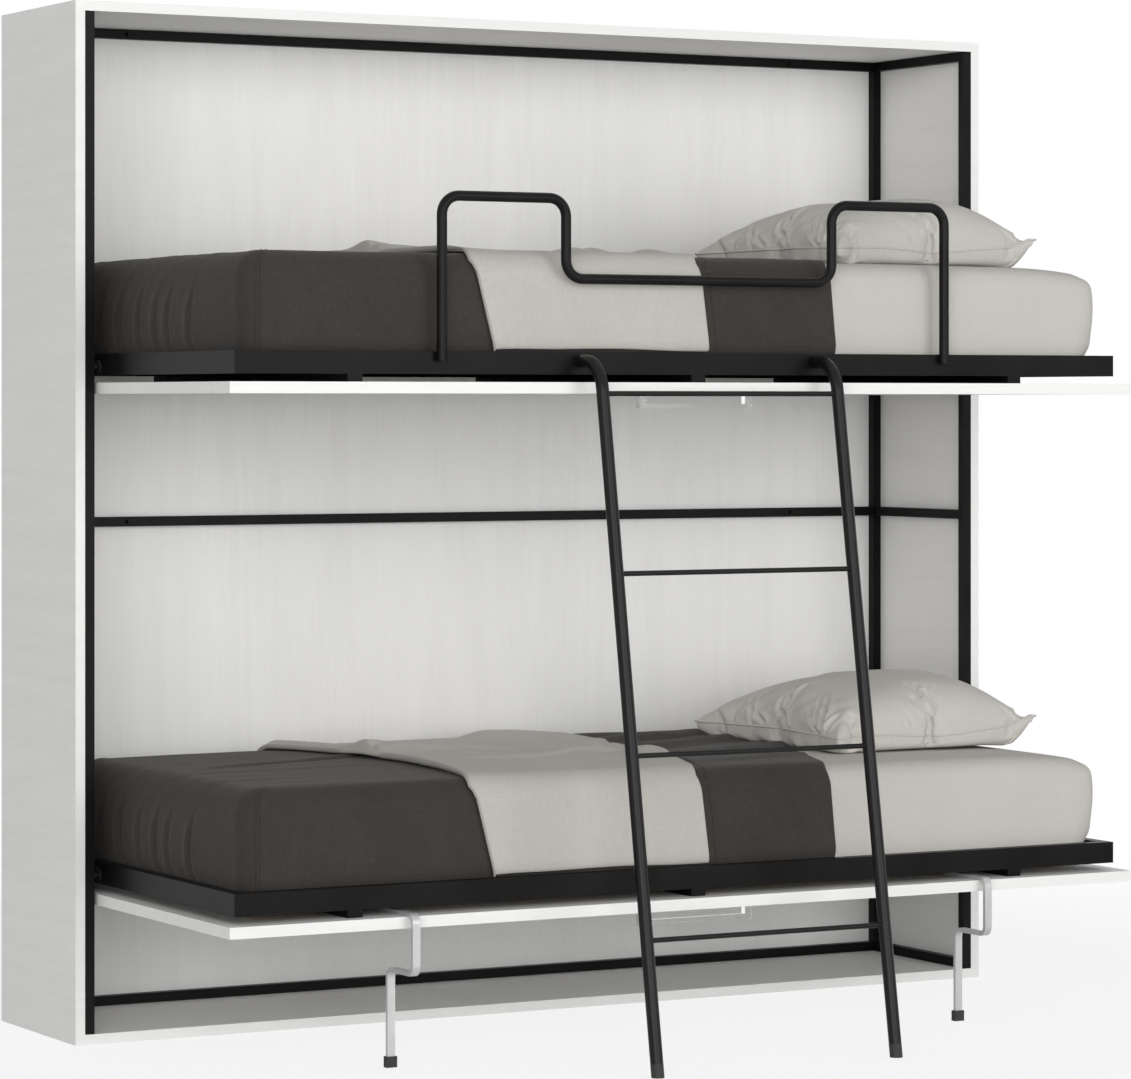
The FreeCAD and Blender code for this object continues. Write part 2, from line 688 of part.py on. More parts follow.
def legs():
    """Flat bars fixed under the lower bed, each with a foot that turns on the level part of the bar."""
    width = number("leg_width")
    thickness = number("leg_thickness")
    bend = number("leg_bend")
    stem_z = number("%s + door_thickness + leg_thickness/2" % deck_z(0))
    drop_y = number("%s - leg_edge_gap - leg_thickness/2" % DOOR_FRONT)
    jog_z = number("%s - leg_drop" % deck_z(0))
    stub_y = drop_y + number("leg_stub")
    foot_y = drop_y + number("leg_jog")
    pin = number("leg_pin") / 2
    pin_length = number("leg_stub - leg_bend - leg_pin_end")
    past = number("cut_past")
    gap = number("running_gap")
    turn_y = stub_y + number("leg_swivel_gap")
    cap_wall = number("leg_cap_wall")
    cap_height = number("leg_cap_height")
    brackets = []
    for sign, hand in SIDES:
        x = sign * number("bar_offset - leg_bar_gap")
        points = [Vector(x, drop_y + number("leg_stem"), stem_z), Vector(x, drop_y, stem_z),
                  Vector(x, drop_y, jog_z), Vector(x, stub_y, jog_z)]
        bracket = flat_bar(points, bend, width, thickness)
        hole_start = Vector(x, stub_y - pin_length - past, jog_z)
        brackets.append(bracket.cut(Part.makeCylinder(pin + gap, pin_length + past, hole_start, Vector(0, 1, 0))))
        points = [Vector(x, turn_y, jog_z), Vector(x, foot_y, jog_z), Vector(x, foot_y, cap_wall)]
        foot = flat_bar(points, bend, width, thickness)
        pin_start = Vector(x, stub_y - pin_length, jog_z)
        spigot = Part.makeCylinder(pin, turn_y - pin_start.y + cap_wall, pin_start, Vector(0, 1, 0))
        node("%s_leg" % hand, made(foot.fuse(spigot)))
        low = Vector(x - width / 2 - cap_wall, foot_y - thickness / 2 - cap_wall, 0)
        cap = Part.makeBox(width + 2 * cap_wall, thickness + 2 * cap_wall, cap_height, low)
        pocket = Vector(x - width / 2, foot_y - thickness / 2, cap_wall)
        node("%s_leg_cap" % hand, made(cap.cut(Part.makeBox(width, thickness, cap_height, pocket))))
    node("leg_brackets", made(Part.makeCompound(brackets)))


cabinet_boards()
steel_frame()
pivots()
for bay, word in BEDS:
    bed_rails(bay, word)
    bed_base(bay, word)
    bedding(bay, word)
    for sign, hand in SIDES:
        gas_strut(bay, word, sign, hand)
guard_rail()
ladder()
legs()
doc.recompute()

for item in doc.Objects:
    if "Invalid" in item.State or "Error" in item.State:
        raise RuntimeError("%s failed: %s" % (item.Label, item.State))
for piece in nodes:
    if piece.Shape.isNull() or not piece.Shape.isValid() or not piece.Shape.Solids:
        raise RuntimeError("%s has no valid solid" % piece.Label)

os.makedirs("parts", exist_ok=True)
for piece in nodes:
    piece.Shape.exportStep("parts/%s.step" % piece.Label)
    print("%-26s %2d solids  %10.1f cm3" % (piece.Label, len(piece.Shape.Solids), piece.Shape.Volume / 1000))
print(len(nodes), "nodes")
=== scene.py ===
import math
import bpy
import numpy as np
from mathutils import Matrix, Vector, noise
from mathutils.bvhtree import BVHTree


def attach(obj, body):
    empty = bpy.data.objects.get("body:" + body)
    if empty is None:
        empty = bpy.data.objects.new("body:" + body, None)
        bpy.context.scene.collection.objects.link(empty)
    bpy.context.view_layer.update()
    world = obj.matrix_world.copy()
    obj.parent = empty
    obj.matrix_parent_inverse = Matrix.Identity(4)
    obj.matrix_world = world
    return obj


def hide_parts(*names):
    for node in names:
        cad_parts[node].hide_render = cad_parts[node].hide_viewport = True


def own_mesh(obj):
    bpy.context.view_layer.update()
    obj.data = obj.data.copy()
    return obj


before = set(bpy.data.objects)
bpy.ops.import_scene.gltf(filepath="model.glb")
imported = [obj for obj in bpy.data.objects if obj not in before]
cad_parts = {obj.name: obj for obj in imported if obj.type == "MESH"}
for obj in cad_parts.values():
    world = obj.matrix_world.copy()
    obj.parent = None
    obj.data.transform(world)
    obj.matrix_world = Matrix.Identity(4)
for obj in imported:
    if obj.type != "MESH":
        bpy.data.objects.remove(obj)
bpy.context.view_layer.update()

scene = bpy.context.scene
scene.view_settings.view_transform = "Standard"
beds = {"lower": 0.0, "upper": 1.010}  # how far each bed stands above the lower one

# camera

photoCamera = {"sensor": 36, "lens": 140.77, "place": (-4.3002, -8.3809, 1.2661), "turn": -29.647,
               "shift": (-0.1189, -0.1208), "clip": (0.1, 100)}


def setCamera(look):
    data = bpy.data.cameras.new("photoCamera")
    camera = bpy.data.objects.new("photoCamera", data)
    scene.collection.objects.link(camera)
    data.sensor_fit, data.sensor_width, data.lens = "HORIZONTAL", look["sensor"], look["lens"]
    data.shift_x, data.shift_y = look["shift"]
    data.clip_start, data.clip_end = look["clip"]
    camera.location = look["place"]
    camera.rotation_euler = (math.radians(90), 0, math.radians(look["turn"]))
    scene.camera = camera


setCamera(photoCamera)
print("camera set")

# node helpers for the finishes


def newFinish(name, colour, roughness=0.5, metal=0.0):
    mat = bpy.data.materials.new(name)
    mat.use_nodes = True
    shader = shaderOf(mat)
    shader.inputs["Base Color"].default_value = (*colour, 1)
    shader.inputs["Roughness"].default_value = roughness
    shader.inputs["Metallic"].default_value = metal
    return mat


def shaderOf(mat):
    return mat.node_tree.nodes["Principled BSDF"]


def speckle(mat, stretch, detail=4.0, rough=0.55, twist=0.0, shift=(0, 0, 0)):
    nodes, links = mat.node_tree.nodes, mat.node_tree.links
    where, move, speck = (nodes.new("ShaderNode" + kind) for kind in ("TexCoord", "Mapping", "TexNoise"))
    move.inputs["Scale"].default_value = stretch
    move.inputs["Location"].default_value = shift
    for socket, value in (("Scale", 1), ("Detail", detail), ("Roughness", rough), ("Distortion", twist)):
        speck.inputs[socket].default_value = value
    links.new(where.outputs["Object"], move.inputs["Vector"])
    links.new(move.outputs["Vector"], speck.inputs["Vector"])
    return speck.outputs["Fac"]


def thread(mat, along, pitch, wobble=0.6):
    bandsPerUnit = 0.314  # a wave texture of this scale repeats once a unit
    nodes, links = mat.node_tree.nodes, mat.node_tree.links
    where, wave = nodes.new("ShaderNodeTexCoord"), nodes.new("ShaderNodeTexWave")
    wave.wave_type, wave.bands_direction = "BANDS", along
    wave.inputs["Scale"].default_value = bandsPerUnit / pitch
    wave.inputs["Distortion"].default_value = wobble
    wave.inputs["Detail"].default_value = 1
    links.new(where.outputs["Object"], wave.inputs["Vector"])
    return wave.outputs["Fac"]


def sums(mat, how, a, b):
    node = mat.node_tree.nodes.new("ShaderNodeMath")
    node.operation = how
    for socket, value in zip(node.inputs, (a, b)):
        if isinstance(value, (int, float)):
            socket.default_value = value
        else:
            mat.node_tree.links.new(value, socket)
    return node.outputs[0]


def blend(mat, parts):
    # adds up (value, share) parts
    total = None
    for value, share in parts:
        part = sums(mat, "MULTIPLY", value, share)
        total = part if total is None else sums(mat, "ADD", total, part)
    return total


def spread(mat, value, low, high, to):
    node = mat.node_tree.nodes.new("ShaderNodeMapRange")
    for socket, number in (("From Min", low), ("From Max", high), ("To Min", to[0]), ("To Max", to[1])):
        node.inputs[socket].default_value = number
    mat.node_tree.links.new(value, node.inputs["Value"])
    return node.outputs["Result"]


def ringLines(mat, figure, lines, to):
    # turns a slow noise into growth rings
    return spread(mat, sums(mat, "SINE", sums(mat, "MULTIPLY", figure, lines), 0), -1, 1, to)


def tint(mat, value, stops):
    ramp = mat.node_tree.nodes.new("ShaderNodeValToRGB")
    spots = ramp.color_ramp.elements
    while len(spots) < len(stops):
        spots.new(0.5)
    for spot, (place, colour) in zip(spots, stops):
        spot.position, spot.color = place, (*colour, 1)
    mat.node_tree.links.new(value, ramp.inputs["Fac"])
    mat.node_tree.links.new(ramp.outputs["Color"], shaderOf(mat).inputs["Base Color"])


def roughen(mat, value, rough):
    mat.node_tree.links.new(spread(mat, value, 0.25, 0.75, rough), shaderOf(mat).inputs["Roughness"])


def emboss(mat, value, distance, strength):
    bump = mat.node_tree.nodes.new("ShaderNodeBump")
    bump.inputs["Strength"].default_value = strength
    bump.inputs["Distance"].default_value = distance
    mat.node_tree.links.new(value, bump.inputs["Height"])
    mat.node_tree.links.new(bump.outputs["Normal"], shaderOf(mat).inputs["Normal"])


# white boards with a faint wood figure

boardLook = {"white": (0.84, 0.835, 0.82), "grey": (0.818, 0.813, 0.798), "pale": (0.856, 0.851, 0.836),
             "streaks": (170.0, 9.0), "figure": (4.5, 0.28), "rings": 62.0, "rough": (0.55, 0.42), "depth": 0.0002}


def whiteBoard(name, along):
    mat = newFinish(name, boardLook["white"])
    fine, broad = [boardLook["streaks"][0]] * 3, [boardLook["figure"][0]] * 3
    fine[along], broad[along] = boardLook["streaks"][1], boardLook["figure"][1]
    streaks = speckle(mat, fine, 5, 0.6)
    figure = speckle(mat, broad, 2.0, 0.45, 0.12)
    rings = ringLines(mat, figure, boardLook["rings"], (0.35, 0.65))
    grain = blend(mat, ((streaks, 0.6), (rings, 0.4)))
    tint(mat, grain, ((0.36, boardLook["grey"]), (0.5, boardLook["white"]), (0.64, boardLook["pale"])))
    roughen(mat, grain, boardLook["rough"])
    emboss(mat, grain, boardLook["depth"], 0.6)
    return mat


boardAlong = [whiteBoard("boardAlong" + axis, i) for i, axis in enumerate("XYZ")]

# coated steel, and nylon and rubber made the same way

blackCoat = {"dark": (0.0045, 0.0045, 0.0045), "light": (0.0085, 0.0085, 0.0082), "peel": 420.0}
frameLook = dict(blackCoat, rough=(0.34, 0.46), depth=0.0001, gloss=0.09)
ladderLook = dict(blackCoat, rough=(0.27, 0.36), depth=0.00008, gloss=0.18)
guardLook = dict(blackCoat, rough=(0.30, 0.40), depth=0.00008, gloss=0.11)
legLook = {"dark": (0.47, 0.47, 0.47), "light": (0.56, 0.56, 0.56), "peel": 260.0, "rough": (0.3, 0.45),
           "depth": 0.0001, "gloss": 0.5, "metal": 0.35}
barrelLook = {"dark": (0.012, 0.012, 0.013), "light": (0.022, 0.022, 0.023), "peel": 600.0, "rough": (0.25, 0.4),
              "depth": 0.00005, "gloss": 0.5}
nylonLook = {"dark": (0.020, 0.020, 0.021), "light": (0.030, 0.030, 0.031), "peel": 300.0, "rough": (0.4, 0.55),
             "depth": 0.00008, "gloss": 0.3}
rubberLook = {"dark": (0.013, 0.013, 0.013), "light": (0.024, 0.024, 0.023), "peel": 500.0, "rough": (0.6, 0.8),
              "depth": 0.0002, "gloss": 0.5}


def coatedSteel(name, look):
    mat = newFinish(name, look["dark"], metal=look.get("metal", 0.0))
    shaderOf(mat).inputs["Specular IOR Level"].default_value = look["gloss"]
    cloud = speckle(mat, (9, 9, 9), 4)
    skin = speckle(mat, (look["peel"],) * 3, 2)
    tint(mat, cloud, ((0.35, look["dark"]), (0.7, look["light"])))
    roughen(mat, blend(mat, ((cloud, 0.6), (skin, 0.4))), look["rough"])
    emboss(mat, skin, look["depth"], 0.5)
    return mat


blackSteel = coatedSteel("blackSteel", frameLook)
tubeSteel = coatedSteel("tubeSteel", ladderLook)
guardSteel = coatedSteel("guardSteel", guardLook)

# bare metal

zincLook = {"dark": (0.03, 0.03, 0.031), "light": (0.055, 0.055, 0.056), "rough": (0.35, 0.5), "lines": (60, 60, 60)}
chromeLook = {"dark": (0.62, 0.62, 0.63), "light": (0.72, 0.72, 0.73), "rough": (0.08, 0.16), "lines": (200, 200, 8)}


def brushedSteel(name, look):
    mat = newFinish(name, look["light"], metal=1.0)
    lines = speckle(mat, look["lines"], 5)
    tint(mat, lines, ((0.3, look["dark"]), (0.7, look["light"])))
    roughen(mat, lines, look["rough"])
    emboss(mat, lines, 0.0001, 0.4)
    return mat


# slats

slatLook = {"dark": (0.40, 0.25, 0.13), "mid": (0.56, 0.39, 0.23), "light": (0.66, 0.49, 0.31),
            "streaks": (160, 6, 160), "figure": (14, 0.8, 14), "rings": 40.0, "rough": (0.6, 0.42), "depth": 0.0003}


def paleWood(name):
    mat = newFinish(name, slatLook["mid"])
    fine = speckle(mat, slatLook["streaks"], 5)
    rings = ringLines(mat, speckle(mat, slatLook["figure"], 3, 0.5, 0.4), slatLook["rings"], (0.2, 0.8))
    grain = blend(mat, ((fine, 0.5), (rings, 0.5)))
    tint(mat, grain, ((0.2, slatLook["dark"]), (0.5, slatLook["mid"]), (0.8, slatLook["light"])))
    roughen(mat, grain, slatLook["rough"])
    emboss(mat, grain, slatLook["depth"], 0.5)
    return mat


# clear handles

acrylicLook = {"colour": (0.97, 0.98, 0.98), "bends": 1.22, "smears": (30, 30, 30), "rough": (0.02, 0.07)}


def clearAcrylic(name):
    mat = newFinish(name, acrylicLook["colour"])
    shader = shaderOf(mat)
    shader.inputs["Transmission Weight"].default_value = 1.0
    shader.inputs["IOR"].default_value = acrylicLook["bends"]
    roughen(mat, speckle(mat, acrylicLook["smears"], 3), acrylicLook["rough"])
    return mat


# cloths

charcoalLook = {"dark": (0.0325, 0.0283, 0.0256), "mid": (0.0410, 0.0358, 0.0324),
                "light": (0.0520, 0.0457, 0.0415), "sheen": 0.09, "sheenColour": (0.9, 0.88, 0.85),
                "pitch": 0.0026, "slub": (0.0022, 0.016), "depth": 0.0006}
throwLook = {"dark": (0.460, 0.443, 0.412), "mid": (0.505, 0.485, 0.451), "light": (0.545, 0.525, 0.490),
             "sheen": 0.08, "sheenColour": (1, 0.99, 0.97), "pitch": 0.0022, "slub": (0.0020, 0.016),
             "depth": 0.0004}
# a darker copy of the throw cloth for the rolled foot edge: painted shade, as the roll faces away from the light, and
# a painted shadow line along the thin hem edge down the drops
shadedThrowLook = dict(throwLook, dark=(0.330, 0.318, 0.296), mid=(0.370, 0.355, 0.330),
                     light=(0.410, 0.395, 0.368))
sheetLook = {"dark": (0.50, 0.483, 0.450), "mid": (0.535, 0.517, 0.485), "light": (0.565, 0.547, 0.515),
             "sheen": 0.06, "sheenColour": (1, 0.99, 0.97), "pitch": 0.0018, "slub": (0.0018, 0.014),
             "depth": 0.0003}
# a lighter copy of the sheet cloth for the pillow: painted light, standing in for the light from above on its top and
# near side
litPillowLook = dict(sheetLook, dark=(0.545, 0.527, 0.492), mid=(0.585, 0.566, 0.530), light=(0.618, 0.598, 0.563))


def wovenCloth(name, look):
    mat = newFinish(name, look["mid"])
    shader = shaderOf(mat)
    shader.inputs["Sheen Weight"].default_value = look["sheen"]
    shader.inputs["Sheen Roughness"].default_value = 0.5
    shader.inputs["Sheen Tint"].default_value = (*look["sheenColour"], 1)
    shader.inputs["Specular IOR Level"].default_value = 0.25
    weave = blend(mat, [(thread(mat, axis, look["pitch"]), 0.3333) for axis in "XYZ"])
    short, long = (1.0 / size for size in look["slub"])
    # thick and thin yarns along the bed and across it
    yarns = sums(mat, "ADD", speckle(mat, (long, short, short), 3, 0.6),
                 speckle(mat, (short, long, long), 3, 0.6, shift=(3.1, 1.7, 0.4)))
    cloud = speckle(mat, (6, 6, 6), 3)
    tone = blend(mat, ((yarns, 0.36), (weave, 0.12), (cloud, 0.16)))
    tint(mat, tone, ((0.34, look["dark"]), (0.5, look["mid"]), (0.66, look["light"])))
    roughen(mat, yarns, (0.78, 0.95))
    emboss(mat, blend(mat, ((weave, 1.0), (yarns, 0.7))), look["depth"], 0.55)
    return mat


charcoalCloth = wovenCloth("charcoalCloth", charcoalLook)
throwCloth = wovenCloth("throwCloth", throwLook)
shadedThrowCloth = wovenCloth("shadedThrowCloth", shadedThrowLook)
sheetCloth = wovenCloth("sheetCloth", sheetLook)
litPillowCloth = wovenCloth("litPillowCloth", litPillowLook)

# finishes and soft edges on the frame's own pieces

slotFinish = {"black_steel": blackSteel, "leg_steel": coatedSteel("legSteel", legLook),
              "zinc_steel": brushedSteel("zincSteel", zincLook), "strut_black": coatedSteel("strutBlack", barrelLook),
              "strut_chrome": brushedSteel("strutChrome", chromeLook), "slat_wood": paleWood("slatWood"),
              "bush_nylon": coatedSteel("bushNylon", nylonLook), "clear_acrylic": clearAcrylic("clearAcrylic"),
              "black_rubber": coatedSteel("blackRubber", rubberLook), "sheet_cloth": sheetCloth,
              "dark_cloth": charcoalCloth, "throw_cloth": throwCloth}
tubeFinish = {"ladder": tubeSteel, "guard": guardSteel}
grainOf = {"back_panel": 2, "side": 1}  # the rest of the boards have their grain along the bed
softEdges = {"board": 0.0020, "squareTube": 0.0018, "plate": 0.0006}
squareTubes = ("posts", "rails", "front_rail", "rear_rail", "cross_bars")
plates = ("plates", "stop_brackets", "slats")


def softEdge(node, width):
    bevel = node.modifiers.new("softEdge", "BEVEL")
    bevel.width, bevel.segments, bevel.limit_method = width, 2, "ANGLE"
    bevel.angle_limit, bevel.harden_normals = math.radians(50), True


def dressFrame():
    for name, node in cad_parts.items():
        slotName = node.data.materials[0].name.split(".")[0]
        if slotName == "white_board":
            mat = boardAlong[next((axis for word, axis in grainOf.items() if name.endswith(word)), 0)]
            softEdge(node, softEdges["board"])
        else:
            mat = slotFinish[slotName]
            if slotName == "black_steel":
                mat = tubeFinish.get(name.split("_")[0], mat)
            if name.endswith(squareTubes):
                softEdge(node, softEdges["squareTube"])
            elif name.endswith(plates):
                softEdge(node, softEdges["plate"])
        for i in range(len(node.material_slots)):
            node.material_slots[i].material = mat


dressFrame()
print("frame dressed:", len(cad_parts), "nodes")

# mesh helpers for the bedding


def boxSkin(lo, hi, step, sides):
    # even grids on some sides of a box, joined where they meet
    steps = step if isinstance(step, tuple) else (step,) * 3
    rows = [np.linspace(lo[i], hi[i], max(3, round((hi[i] - lo[i]) / steps[i]) + 1)) for i in range(3)]
    seen, points, faces = {}, [], []

    def corner(place):
        if place not in seen:
            seen[place] = len(points)
            points.append([rows[i][place[i]] for i in range(3)])
        return seen[place]

    for side in sides:
        axis = "xyz".index(side[0])
        u, v = (axis + 1) % 3, (axis + 2) % 3
        for a in range(len(rows[u]) - 1):
            for b in range(len(rows[v]) - 1):
                face = []
                for da, db in ((0, 0), (1, 0), (1, 1), (0, 1)):
                    place = [0, 0, 0]
                    place[axis] = len(rows[axis]) - 1 if side[1] == "+" else 0
                    place[u], place[v] = a + da, b + db
                    face.append(corner(tuple(place)))
                faces.append(face if side[1] == "+" else face[::-1])
    return np.array(points), faces


def newPiece(name, points, faces, mat):
    mesh = bpy.data.meshes.new(name)
    mesh.from_pydata([tuple(p) for p in points], [], faces)
    mesh.polygons.foreach_set("use_smooth", [True] * len(mesh.polygons))
    mesh.materials.append(mat)
    mesh.update()
    piece = bpy.data.objects.new(name, mesh)
    scene.collection.objects.link(piece)
    return piece


def pushOut(piece, depth):
    # moves each point along its normal by depth(place, normal)
    mesh = piece.data
    moved = [v.co + v.normal * depth(v.co, v.normal) for v in mesh.vertices]
    mesh.vertices.foreach_set("co", [c for p in moved for c in p])
    mesh.update()


def ease(value, low, high):
    t = min(1.0, max(0.0, (value - low) / (high - low)))
    return t * t * (3 - 2 * t)


def climb(value, start, run):
    # 0 before start, then straight up to 1 over the run, which may be backwards
    return np.clip((value - start) / run, 0, 1)


def hump(value, middle, width):
    return math.exp(-((value - middle) / width) ** 2)


def ripple(p, stretch, seed):
    x, y, z = (place * times for place, times in zip(p, stretch))
    return noise.noise(Vector((x + seed, y - seed, z + 0.5 * seed)))


def tube(path, radius, sides, closed):
    # round tube through a list of points, of one radius or one for each point
    path = np.array(path)
    count = len(path)
    radii = np.broadcast_to(radius, count)
    ahead = np.roll(path, -1, 0) - np.roll(path, 1, 0)
    if not closed:
        ahead[0], ahead[-1] = path[1] - path[0], path[-1] - path[-2]
    ahead /= np.linalg.norm(ahead, axis=1, keepdims=True)
    points, faces = [], []
    for p, t, r in zip(path, ahead, radii):
        across = np.cross(t, (0, 0, 1.0)) if abs(t[2]) < 0.9 else np.cross(t, (0, 1.0, 0))
        across /= np.linalg.norm(across)
        up = np.cross(across, t)
        for i in range(sides):
            a = 2 * math.pi * i / sides
            points.append(p + r * (math.cos(a) * across + math.sin(a) * up))
    for i in range(count if closed else count - 1):
        for j in range(sides):
            k, n = (i + 1) % count, (j + 1) % sides
            faces.append([i * sides + j, k * sides + j, k * sides + n, i * sides + n])
    return points, faces


def smoothMore(piece, levels=1):
    mod = piece.modifiers.new("smooth", "SUBSURF")
    mod.levels = mod.render_levels = levels


def thicken(piece, thick):
    mod = piece.modifiers.new("cloth", "SOLIDIFY")
    mod.thickness, mod.offset, mod.use_even_offset = thick, -1, False


def placeOnBeds(piece, name, bodyNode):
    # the upper bed gets a copy and the lower bed the piece itself
    made = {}
    for bed, up in reversed(beds.items()):
        own = piece
        if up:
            own = piece.copy()
            own.data = piece.data.copy()
            own.data.transform(Matrix.Translation((0, 0, up)))
            scene.collection.objects.link(own)
        own.name = own.data.name = bed + name
        if bodyNode:
            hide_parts(bed + "_" + bodyNode)
        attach(own, bed + "_bed")
        made[bed] = own
    return made


# mattress in a fitted sheet

mattress = {"lo": (-0.954, -0.794, 0.3345), "hi": (0.954, 0.086, 0.5355), "edge": 0.045, "step": 0.018, "fill": 0.95,
            "crown": 0.006, "drawn": 0.004, "headSwell": 0.020, "headBulge": 0.006, "bulgeAt": (0.47, 0.06),
            "headFall": 0.014, "fallFrom": 0.79, "fallOver": 0.165, "cornerFall": 0.004,
            "railTop": 0.354, "overRail": 0.014, "tuckBelow": 0.376, "tuckOver": 0.03, "tuck": (0.004, 0.010),
            "bareFrom": 0.34, "bareOver": 0.05, "uneven": 0.0012, "headFolds": 0.0022, "cornerFolds": 0.0016}


def headFall(x):
    # the last hand's width of the mattress falls away towards the head end
    return mattress["headFall"] * climb(x, mattress["fallFrom"], mattress["fallOver"]) ** 2


def bedForm(points, grow):
    # wraps points on a box round the mattress, grow metres outside it
    lo, hi = np.array(mattress["lo"]) - grow, np.array(mattress["hi"]) + grow
    edge = mattress["edge"] + grow
    inner = np.clip(points, lo + (edge, edge, -1), hi - edge)
    out = points - inner
    pull = edge / np.maximum(np.linalg.norm(out, axis=1), 1e-9)
    underneath = np.abs(out).max(axis=1) < 0.999 * edge
    q = inner + out * np.where(underneath, np.minimum(pull, 1), pull)[:, None]
    u = q[:, 0] / hi[0]
    v = (q[:, 1] - (lo[1] + hi[1]) / 2) / ((hi[1] - lo[1]) / 2)
    # crowned on top and drawn in half way along each side
    high = climb(q[:, 2], hi[2] - edge, edge)
    q[:, 2] += mattress["crown"] * (1 - u ** 4) * (1 - v ** 4) * high
    q[:, 1] -= np.sign(v) * mattress["drawn"] * (1 - u ** 2) * np.abs(v) ** 5 * (1 - high)
    q[:, 0] -= np.sign(u) * mattress["drawn"] * (1 - v ** 2) * np.abs(u) ** 9 * (1 - high)
    headEnd = climb(u, 0.8, 0.2) ** 2
    corners = mattress["cornerFall"] * headEnd * climb(np.abs(v), 0.75, 0.25) ** 2
    q[:, 2] -= (headFall(q[:, 0]) + corners) * high
    # tucked in behind the rails, all but the bare head part
    low = np.clip((mattress["tuckBelow"] - q[:, 2]) / mattress["tuckOver"], 0, 1.3) ** 2
    if grow == 0:
        low *= climb(q[:, 0], mattress["bareFrom"], -mattress["bareOver"])
    q[:, 0] += mattress["tuck"][0] * low * np.clip(-u, 0, 1) ** 9
    q[:, 1] -= np.sign(v) * mattress["tuck"][1] * low * np.abs(v) ** 5
    # the head end swells out over the rail
    bulge = mattress["headBulge"] * np.exp(-((q[:, 2] - mattress["bulgeAt"][0]) / mattress["bulgeAt"][1]) ** 2)
    overRail = climb(q[:, 2], mattress["railTop"], mattress["overRail"])
    q[:, 0] += (mattress["headSwell"] + bulge) * headEnd * overRail
    return q


def mattressCreases(p, n):
    d = mattress["uneven"] * ripple(p, (3, 3, 4), 2.0)
    headEnd = ease(p.x, 0.90, 0.95) * ease(-abs(n.z), -0.7, -0.2)
    folds = math.sin(p.y * 38 + 2.5 * math.sin(p.z * 14)) * ease(p.z, 0.56, 0.40)
    d += mattress["headFolds"] * headEnd * folds
    nearCorner = hump(p.x, 0.93, 0.07) * hump(p.y, -0.77, 0.07)
    d += mattress["cornerFolds"] * nearCorner * math.sin((p.x - p.y) * 130 + p.z * 30)
    return d * ease(p.z, mattress["lo"][2], mattress["railTop"])


def makeMattress():
    lo, hi = mattress["lo"], mattress["hi"]
    points, faces = boxSkin(lo, hi, mattress["step"], ("x-", "x+", "y-", "y+", "z-", "z+"))
    piece = newPiece("mattress", bedForm(points, 0.0), faces, sheetCloth)
    pushOut(piece, mattressCreases)
    smoothMore(piece)
    for own in placeOnBeds(piece, "Mattress", "mattress").values():
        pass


makeMattress()
print("mattresses made")

# dark cover over the foot half; a pleat is (y, share of pleatDeep), a rumple (y, slant, width, height)
# and a pull on the front drop (x, height)

cover = {"headEdge": 0.318, "slackFrom": -0.10, "headSlant": 0.34, "slantFrom": -0.78, "slantOver": 0.46,
         "headDrop": 0.015, "dropTall": 0.17, "hem": 0.3450, "grow": 0.0065, "thick": 0.004,
         "step": (0.012, 0.0058, 0.009), "flat": (1.30, 1.485), "cutArea": 1.86,
         "uneven": (0.0016, 0.0005), "wrinkles": (0.0020, 0.0009),
         "longCrease": {"x": -0.58, "y": -0.262, "slant": 0.31, "deep": 0.0035},
         "rumplesFrom": (0.04, 0.16), "rumplesAt": 0.22,
         "rumples": ((0.030, -0.10, 0.034, 0.008), (-0.10, 0.30, 0.034, 0.015), (-0.27, 0.45, 0.034, 0.013),
                     (-0.45, 0.30, 0.030, 0.009), (-0.62, 0.20, 0.024, 0.004)),
         "pleatDeep": 0.0066,
         "pleats": ((-0.526, 1.0), (-0.419, 0.8), (-0.358, 1.0), (-0.273, 0.9), (-0.176, 1.1), (-0.08, 0.8)),
         "gathers": (0.0003, 0.0010), "frontWaves": 0.0018, "frontPulls": ((0.19, 0.0036), (0.235, 0.0022)),
         "seamAt": (0.020, 0.030), "bandAt": 0.024, "bandTo": -0.45, "stitch": 0.0011, "stitchProud": 0.0003}


def topFolds(p):
    # long soft wrinkles and one crease that runs to the throw
    long, short = cover["wrinkles"]
    d = long * ripple(p, (2.2, 17, 1), 11.0) + short * ripple(p, (5, 30, 1), 5.0)
    line = cover["longCrease"]
    off = p.y - line["y"] - line["slant"] * (p.x - line["x"])
    length = ease(p.x, -0.90, -0.75) * ease(-p.x, 0.38, 0.46)
    d += length * line["deep"] * (hump(off, 0.020, 0.022) - hump(off, 0.0, 0.008))
    # rumpled between throw and pillow
    loose = ease(p.x, *cover["rumplesFrom"]) * (0.8 + 0.5 * ripple(p, (7, 5, 1), 21.0))
    for middle, slant, wide, high in cover["rumples"]:
        off = p.y - middle - slant * (p.x - cover["rumplesAt"])
        d += loose * high * (hump(off, 0.0, wide) - 0.35 * hump(off, -1.7 * wide, 0.8 * wide))
    return d


def footFolds(p):
    # bowed pleats under fine slanting gathers
    tall = (p.z - 0.36) / 0.12
    bow = 0.11 * max(0.0, tall - 0.45) ** 2 + 0.16 * max(0.0, 0.35 - tall) ** 2
    down = ease(0.505 - p.z, 0.0, 0.07)
    d = 0.0
    for middle, much in cover["pleats"]:
        bend = p.y - middle + bow
        d += down * much * cover["pleatDeep"] * (0.5 * hump(bend, 0.016, 0.013) - hump(bend, 0.0, 0.0048))
    slanted = p.y + p.z + 0.004 * ripple(p, (8, 8, 8), 4.0)
    fine, broad = cover["gathers"]
    gathers = fine * math.sin(slanted * 330) + broad * ripple((slanted, p.z, 0), (26, 2, 0), 6.0)
    return d + gathers * ease(p.z, 0.40, 0.47) * ease(0.555 - p.z, 0.0, 0.05)


